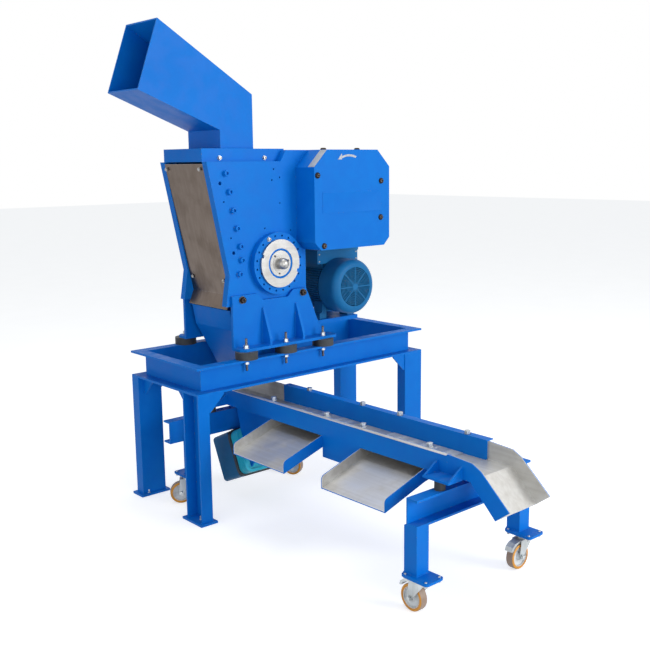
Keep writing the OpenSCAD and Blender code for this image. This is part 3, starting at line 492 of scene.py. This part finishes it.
def socket_screw(radius, height, washer):
    """Cylinder head with a rounded rim and a hexagon socket, on a flat washer."""
    head = ring_of(radius, height, 28)
    pick(head, lambda a, b: abs(a.z - height) < 1e-5 and abs(b.z - height) < 1e-5, "EDGE")
    bpy.ops.mesh.bevel(offset=radius * 0.12, segments=3)
    pick(head, lambda centre, normal: normal.z < -0.9)
    extrude(scale=(washer / radius, washer / radius, 1))
    extrude((0, 0, -WASHER))
    bpy.ops.mesh.select_all(action="SELECT")
    bpy.ops.transform.translate(value=(0, 0, WASHER))
    cut_hexagon(head, radius * 1.05, height + WASHER, height * 0.55)
    return head


def button_screw(radius, height):
    """Domed head with a hexagon socket."""
    head = ring_of(radius, height, 28)
    pick(head, lambda a, b: abs(a.z - height) < 1e-5 and abs(b.z - height) < 1e-5, "EDGE")
    bpy.ops.mesh.bevel(offset=height * 0.85, segments=5)
    cut_hexagon(head, radius * 0.75, height, height * 0.5)
    return head


def hexagon_nut(width, height, washer):
    """Hexagon with chamfered corners, on a round washer."""
    nut = ring_of(width / math.sqrt(3), height, 6)
    for z in (0.0, height):
        pick(nut, lambda centre, normal: abs(centre.z - z) < 1e-5 and abs(normal.z) > 0.9)
        bpy.ops.mesh.inset(thickness=width * 0.045)
        bpy.ops.transform.translate(value=(0, 0, width * (0.03 if z else -0.03)))
    bpy.ops.object.mode_set(mode="OBJECT")
    disc = ring_of(washer, WASHER, 28, -WASHER)
    pick(disc, lambda a, b: abs(a.z - b.z) < 1e-6, "EDGE")
    bpy.ops.mesh.bevel(offset=0.0004, segments=1)
    bpy.ops.object.mode_set(mode="OBJECT")
    clear()
    disc.select_set(True)
    nut.select_set(True)
    bpy.context.view_layer.objects.active = nut
    bpy.ops.object.join()
    return nut


def threaded_rod(radius, length, pitch):
    """Rod whose thread is a stack of ridges, closed by a chamfered end."""
    rod = primitive("circle", radius=radius * 0.9, vertices=14, fill_type="NGON")
    for step in range(int(length / pitch * 2)):
        grow = 1 / 0.9 if step % 2 == 0 else 0.9
        extrude((0, 0, pitch / 2), (grow, grow, 1), (0, 0, 0))
    extrude((0, 0, pitch), (0.7, 0.7, 1), (0, 0, 0))
    bpy.ops.object.mode_set(mode="OBJECT")
    return rod


plate_screw = socket_screw(0.0128, 0.0140, 0.0150)
cover_screw = socket_screw(0.0055, 0.0040, 0.0080)
small_cap = socket_screw(0.0075, 0.0080, 0.0095)
frame_bolt = socket_screw(0.0135, 0.0130, 0.0170)
ring_bolt = button_screw(0.0085, 0.0070)
guard_screw = button_screw(0.0138, 0.0090)
small_screw = button_screw(0.0045, 0.0032)
nut_m12 = hexagon_nut(0.021, 0.013, 0.0135)
nut_m8 = hexagon_nut(0.010, 0.0050, 0.0065)
cap_m8 = button_screw(0.0050, 0.0030)
axle_nut = hexagon_nut(0.015, 0.0050, 0.0085)
stud = threaded_rod(0.006, 0.044, 0.00175)
masters = [plate_screw, cover_screw, small_cap, frame_bolt, ring_bolt, guard_screw,
           small_screw, nut_m12, nut_m8, cap_m8, axle_nut, stud]
print(len(masters), "kinds of fastener")

# %% [markdown]
# ## Where the screws sit
# The places come from the photograph, on the faces of the CAD solids that carry them. The
# machine is built the same on both sides, so what the near side plate shows is repeated on
# the far one, which faces the other way.

# %% Screws of the housing
Y_MIDDLE = 0.275
NEAR, FAR, UP, DOWN, LEFT, RIGHT = (
    (0, -1, 0), (0, 1, 0), (0, 0, 1), (0, 0, -1), (-1, 0, 0), (1, 0, 0))


def both_sides(points, y):
    """Places on the near face at depth y and on the matching far face."""
    near = [((x, y, z), NEAR) for x, z in points]
    return near + [((x, 2 * Y_MIDDLE - y, z), FAR) for x, z in points]


row = [(0.236, 1.495), (0.253, 1.416), (0.269, 1.336), (0.287, 1.258), (0.302, 1.179),
       (0.308, 1.119), (0.295, 1.058)]
copies(plate_screw, "plate_screws", both_sides(row, 0.090), blue)
copies(frame_bolt, "bracket_bolts", both_sides([(0.296, 0.944), (0.641, 0.944)], 0.075),
       dark_bolt)
copies(small_cap, "top_box_screws", both_sides([(0.233, 1.560), (0.473, 1.560)], 0.125),
       bright)
COVER_SLOPE = Vector((-0.976, 0, -0.216))
cover = [((0.1442, 0.410, 1.513), COVER_SLOPE), ((0.1442, 0.149, 1.513), COVER_SLOPE),
         ((0.2542, 0.398, 1.026), COVER_SLOPE), ((0.2542, 0.152, 1.026), COVER_SLOPE)]
copies(cover_screw, "cover_screws", cover, bright)

# %% Screws of the hubs and guards
turn = math.radians(21)
step = Vector((math.cos(turn), 0, math.sin(turn))) * 0.102
hub = Vector((0.495, 0.0, 1.092))
ring_places = [((hub.x + s * step.x, hub.z + s * step.z)) for s in (-1, 1)]
copies(ring_bolt, "clamp_ring_bolts", both_sides(ring_places, 0.060), dark_bolt)
corners = [(0.642, 1.480), (1.038, 1.449), (1.035, 1.278), (0.677, 1.163)]
guard_places = [((x, -0.041, z), NEAR) for x, z in corners]
belt_corners = [(0.66, 1.53), (1.05, 1.50), (1.05, 0.86), (0.84, 0.84), (0.66, 1.20)]
guard_places += [((x, 0.591, z), FAR) for x, z in belt_corners]
guard_places += [((x, 0.03, 1.594), UP) for x in (0.74, 0.95)]
disc = [((0.495 + 0.046 * math.cos(a), 0.0500, 1.092 + 0.046 * math.sin(a)), NEAR)
        for a in (math.radians(132), math.radians(262), math.radians(12))]
copies(small_screw, "disc_screws", disc, dark_bolt, "hub_shaft")
PITCH_R, HOLE_TURN = 0.124, math.radians(117)
flange_place = [(hub.x + PITCH_R * math.cos(HOLE_TURN), hub.z + PITCH_R * math.sin(HOLE_TURN))]
copies(small_cap, "flange_screws", both_sides(flange_place, 0.060), bright)
copies(guard_screw, "guard_screws", guard_places, dark_bolt)

# %% [markdown]
# ## Screws of the trough, the stand and the castors
# Zinc hexagon bolts hold the clamp strip and the guide of the trough. Threaded studs come
# up through the feet of the housing from the rubber buffers, each with a nut and a washer.

# %% Trough, buffers and feet
strip = [((0.321, y, 0.5220), UP) for y in (-0.103, -0.454, -0.669, -1.019)]
guide = [((0.522, y, 0.5290), UP) for y in (-0.108, -0.456, -0.673, -1.026)]
copies(nut_m12, "trough_bolts", strip + guide, zinc)
feet = [(x, y) for x in (0.279, 0.501, 0.723) for y in (0.030, 0.520)]
copies(stud, "buffer_studs", [((x, y, 0.7350), UP) for x, y in feet], dark_bolt)
copies(nut_m12, "buffer_nuts", [((x, y, 0.7375), UP) for x, y in feet], zinc)
under_flange = [((x, y, 0.6786), DOWN) for x, y in feet]
copies(nut_m12, "lower_buffer_nuts", under_flange, zinc)
copies(stud, "lower_buffer_studs", [((x, y, 0.6810), DOWN) for x, y in feet], dark_bolt)
floor_bolts = [(x, y) for x in (0.030, 1.340) for y in (0.045, 0.505)]
copies(nut_m12, "foot_nuts", [((x, y, 0.0125), UP) for x, y in floor_bolts], zinc)
lid = [((x, 0.155, z), NEAR) for x in (0.815, 1.055) for z in (1.066, 1.100)]
copies(small_screw, "terminal_box_screws", lid, bright)

# %% Castor bolts and axle nuts
pads = [(x + dx, y + dy) for x, y in STOPS.values() for dx in (-0.0335, 0.0335)
        for dy in (-0.048, 0.048)]
copies(nut_m8, "castor_nuts", [((x, y, 0.1280 - 0.0025), DOWN) for x, y in pads], zinc)
copies(cap_m8, "castor_bolts", [((x, y, 0.1400), UP) for x, y in pads], zinc)
for where, (x, y) in STOPS.items():
    low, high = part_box(f"wheel_{where}")
    axle = (Vector(low) + Vector(high)) / 2
    trail = Vector((axle.x - x, axle.y - y, 0)).normalized()
    side = Vector((-trail.y, trail.x, 0))
    places = [(axle + side * 0.0270 * sign, side * sign) for sign in (-1, 1)]
    copies(axle_nut, f"axle_nuts_{where}", places, zinc, f"fork_{where}")

for master in masters:
    bpy.data.objects.remove(master)

# %% [markdown]
# ## Screen plates of the trough
# Two bright screen plates lie in the trough, each over one of the side chutes. A plate is a
# grid of cells; each cell is inset on its own and its middle is deleted, which leaves a
# slot, and the sheet then gets its thickness.

# %% Screen plates
FLOOR_Z = 0.4535


def screen_plate(name, y_low, y_high):
    """A slotted sheet in the trough from y_low to y_high."""
    wide, long = 0.190, y_high - y_low
    sheet = primitive("grid", (0.411, (y_low + y_high) / 2, FLOOR_Z), x_subdivisions=17,
                      y_subdivisions=6, size=1.0)
    bpy.ops.mesh.select_all(action="SELECT")
    bpy.ops.transform.resize(value=(wide, long, 1),
                             center_override=(0.411, (y_low + y_high) / 2, FLOOR_Z))
    bpy.ops.mesh.inset(thickness=0.0034, use_individual=True)
    bpy.ops.mesh.delete(type="FACE")
    modifier(sheet, "SOLIDIFY", thickness=0.003, offset=1.0)
    modifier(sheet, "BEVEL", width=0.0004, segments=1, limit_method="ANGLE")
    return finish_piece(sheet, name, screen_steel)


screen_plate("screen_plate_rear", -0.465, -0.125)
screen_plate("screen_plate_front", -1.020, -0.655)

# %% [markdown]
# ## Guard markings and a painted reflection
# The guard carries a bare plate where a maker would put a name, and a curved arrow that
# shows which way the shaft turns. The arrow starts as one short edge: spinning it draws the
# band, and widening and then closing the last edge draws the head. A thin light grey sheet
# on the cut upper corner is a painted reflection of a bright window in the glossy paint.

# %% Bare plate, painted corner reflection and arrow
plate = primitive("cube", (0.8555, -0.0418, 1.3565), size=1.0)
bpy.ops.mesh.select_all(action="SELECT")
bpy.ops.transform.resize(value=(0.369, 0.0016, 0.095), center_override=(0.8555, -0.0418, 1.3565))
pick(plate, lambda centre, normal: normal.y < -0.9)
bpy.ops.mesh.inset(thickness=0.004)
bpy.ops.transform.translate(value=(0, 0.0008, 0))
modifier(plate, "BEVEL", width=0.0005, segments=2, limit_method="ANGLE")
finish_piece(plate, "bare_plate", blue)

ARC = Vector((0.8345, -0.0412, 1.452))  # centre of the arrow's band
BAND = 0.118  # its radius
HALF = math.radians(22)
start = ARC + Vector((-math.sin(HALF), 0, math.cos(HALF))) * BAND
arrow = primitive("plane", start, (math.pi / 2, HALF, 0), size=0.011)
pick(arrow, lambda a, b: (a - ARC).length > BAND and (b - ARC).length > BAND, "EDGE")
bpy.ops.mesh.select_all(action="SELECT")
bpy.ops.transform.resize(value=(0.02, 1, 1), center_override=start)


def end_edge(piece, sign):
    """Selects the end of the band on one side and returns its middle."""
    mesh = bmesh.from_edit_mesh(piece.data)
    far = max(sign * (e.verts[0].co.x + e.verts[1].co.x) for e in mesh.edges)
    pick(piece, lambda a, b: abs(sign * (a.x + b.x) - far) < 1e-5, "EDGE")
    ends = [v.co.copy() for v in bmesh.from_edit_mesh(piece.data).verts if v.select]
    return sum(ends, Vector()) / len(ends)


end_edge(arrow, 1)
bpy.ops.mesh.spin(steps=14, angle=-2 * HALF, center=ARC, axis=(0, 1, 0))
middle = end_edge(arrow, -1)
extrude((0.0, 0, 0.0), (2.7, 1, 2.7), middle)
point = middle + Vector((-0.024, 0, -0.0135))
extrude(tuple(point - middle), (0.02, 1, 0.02), point)
modifier(arrow, "SOLIDIFY", thickness=0.0008, offset=0.0)
modifier(arrow, "BEVEL", width=0.0002, segments=1, limit_method="ANGLE")
finish_piece(arrow, "turning_arrow", grey_mark_and_reflection)

# painted reflection: a thin light grey sheet laid on the guard's cut upper corner
corner = Vector((0.663, -0.017, 1.555))  # on the guard's cut upper corner
patch = primitive("cube", corner, (0, -math.pi / 4, 0), size=1.0)
bpy.ops.mesh.select_all(action="SELECT")
bpy.ops.transform.resize(value=(1, 0.044, 1), center_override=corner)
along, away = Vector((1, 0, 1)).normalized(), Vector((-1, 0, 1)).normalized()
for direction, size in ((along, 0.106), (away, 0.0016)):
    mesh = bmesh.from_edit_mesh(patch.data)
    for vertex in mesh.verts:
        reach = (vertex.co - corner) @ direction
        vertex.co += direction * (math.copysign(size / 2, reach) - reach)
    bmesh.update_edit_mesh(patch.data)
modifier(patch, "BEVEL", width=0.0005, segments=2, limit_method="ANGLE")
finish_piece(patch, "corner_painted_reflection", grey_mark_and_reflection)

# %% [markdown]
# ## Hub ring
# Between the clamp ring and the turning disc the flange shows as a narrow blue ring. It is
# a collar in the recess, with a rounded lip, on each side of the machine.

# %% Hub ring
collar = primitive("cylinder", (0, 0, 0.0055), radius=0.0675, depth=0.011, vertices=72)
pick(collar, lambda centre, normal: abs(normal.z) > 0.9)
bpy.ops.mesh.inset(thickness=0.0080)
bpy.ops.mesh.bridge_edge_loops()
modifier(collar, "BEVEL", width=0.0009, segments=3, limit_method="ANGLE", angle_limit=0.6)
copies(collar, "hub_rings", both_sides([(0.495, 1.092)], 0.0605), blue)
bpy.data.objects.remove(collar)

# %% [markdown]
# ## Castors
# Between the plate and the turning head of each castor there is a red dust seal. It is a
# ring whose outer edge is rounded.

# %% Castor seals
seal = primitive("cylinder", (0, 0, 0.0005), radius=0.0325, depth=0.0045, vertices=40)
for z in (-1, 1):
    pick(seal, lambda centre, normal, side=z: normal.z * side > 0.9)
    bpy.ops.mesh.inset(thickness=0.006)
    bpy.ops.transform.translate(value=(0, 0, 0.0008 * z))
modifier(seal, "BEVEL", width=0.0009, segments=2, limit_method="ANGLE", angle_limit=0.6)
copies(seal, "castor_seals", [((x, y, 0.1272), UP) for x, y in STOPS.values()], red_seal,
       smooth=50)
bpy.data.objects.remove(seal)

# %% [markdown]
# ## Weld beads
# Where plates meet at a corner they are welded. A bead is a row of small overlapping
# mounds, as the welder's ripples are. One mound is modelled, and rows of copies are laid
# along each seam, leaning out of the corner.

# %% Weld beads
mound = primitive("ico_sphere", subdivisions=2, radius=0.0036)
pick(mound, lambda point: point.z < -0.0001, "VERT")
bpy.ops.transform.resize(value=(1, 1, 0.3), center_override=(0, 0, 0))
bpy.ops.object.mode_set(mode="OBJECT")
RIPPLE = 0.0052  # distance from one mound to the next


def seam(start, end, out):
    """Places for the mounds of one seam, from start to end, leaning towards out."""
    start, end = Vector(start), Vector(end)
    count = max(2, int((end - start).length / RIPPLE))
    return [(start.lerp(end, i / count), out) for i in range(count + 1)]


def mirrored(places):
    """The same seams on the far side of the machine."""
    twins = [((at[0], 2 * Y_MIDDLE - at[1], at[2]), (out[0], -out[1], out[2]))
             for at, out in places]
    return places + twins


welds = []
for x in (0.404, 0.595):
    for edge, side in ((x, -1), (x + 0.012, 1)):
        welds += seam((edge, 0.0750, 0.737), (edge, 0.0750, 0.896), (side, -1, 0))
        welds += seam((edge, 0.0240, 0.735), (edge, 0.0720, 0.735), (side, 0, 1))
welds += seam((0.250, 0.075, 0.735), (0.395, 0.075, 0.735), (0, -1, 1))
welds += seam((0.425, 0.075, 0.735), (0.586, 0.075, 0.735), (0, -1, 1))
welds += seam((0.616, 0.075, 0.735), (0.770, 0.075, 0.735), (0, -1, 1))
welds = mirrored(welds)
welds += mirrored(seam((0.262, 0.150, 1.600), (0.430, 0.150, 1.600), (0, -1, 1)))
copies(mound, "weld_beads_machine", welds, blue, smooth=60)

posts = []
for low_x in (0.098, 0.668):
    for low_y in (-1.166, 0.226):
        a, b = (low_x, low_y, 0.140), (low_x + 0.060, low_y, 0.140)
        c, d = (low_x + 0.060, low_y + 0.060, 0.140), (low_x, low_y + 0.060, 0.140)
        for first, second, out in ((a, b, (0, -1, 1)), (b, c, (1, 0, 1)), (c, d, (0, 1, 1)),
                                   (d, a, (-1, 0, 1))):
            posts += seam(first, second, out)
copies(mound, "weld_beads_posts", posts, blue, smooth=60)
bpy.data.objects.remove(mound)

# %% [markdown]
# ## Floor and lights
# A plain pale floor and a soft key light from the right of the camera, as in the
# photograph, where the sides that face front are bright and those on the left are deeper.
# A ray that comes straight from the camera sees the background as white. The light that
# falls on the machine is lower, so that the enamel keeps its depth.

# %% Floor, world and lamps
bpy.ops.mesh.primitive_plane_add(size=60, location=(0, 0, -0.0005))
floor = bpy.context.object
floor.name = "floor"
ground = Finish("pale floor", Specular_IOR_Level=0.0, Emission_Strength=1.0)
camera_ray, glossy_ray = (ground.node("LightPath", {}, {}, f"Is {kind} Ray")
                          for kind in ("Camera", "Glossy"))
dusty = ground.mix(ground.noise(3.0).ramp(0.3, 0.7), (0.70, 0.70, 0.70, 1), (0.72, 0.72, 0.72, 1))
glow = ground.mix(camera_ray.largest(glossy_ray), (0, 0, 0, 1), (0.60, 0.60, 0.60, 1))
rough_floor = 0.8 + 0.1 * ground.noise(8.0)
floor.data.materials.append(
    ground.feed(Base_Color=dusty, Emission_Color=glow, Roughness=rough_floor))

world = bpy.data.worlds.new("studio")
bpy.context.scene.world = world
world.use_nodes = True
shades = world.node_tree
room = shades.nodes["Background"]
room.inputs["Color"].default_value = (0.90, 0.95, 1.0, 1)
room.inputs["Strength"].default_value = 0.46
path = shades.nodes.new("ShaderNodeLightPath")
backdrop = shades.nodes.new("ShaderNodeBackground")
backdrop.inputs["Color"].default_value = (1, 1, 1, 1)
shown = room
for kind in ("Camera", "Glossy", "Transmission"):
    either = shades.nodes.new("ShaderNodeMixShader")
    shades.links.new(path.outputs[f"Is {kind} Ray"], either.inputs[0])
    shades.links.new(shown.outputs[0], either.inputs[1])
    shades.links.new(backdrop.outputs[0], either.inputs[2])
    shown = either
shades.links.new(shown.outputs[0], shades.nodes["World Output"].inputs["Surface"])


def lamp(name, at, target, size, power):
    """A square soft box that looks at the target."""
    light = bpy.data.lights.new(name, "AREA")
    light.size, light.energy = size, power
    stand = bpy.data.objects.new(name, light)
    bpy.context.scene.collection.objects.link(stand)
    stand.location = at
    stand.rotation_euler = (Vector(target) - Vector(at)).to_track_quat("-Z", "Y").to_euler()


MIDDLE = (0.5, 0.0, 0.9)
lamp("key", (3.4, -7.4, 2.8), MIDDLE, 3.4, 370)
lamp("fill", (-2.2, -5.6, 0.9), MIDDLE, 3.0, 110)
lamp("left", (-5.4, 0.4, 1.4), MIDDLE, 3.0, 45)
lamp("top", (0.4, 0.2, 4.8), MIDDLE, 2.6, 60)
print("four soft boxes in a pale room")
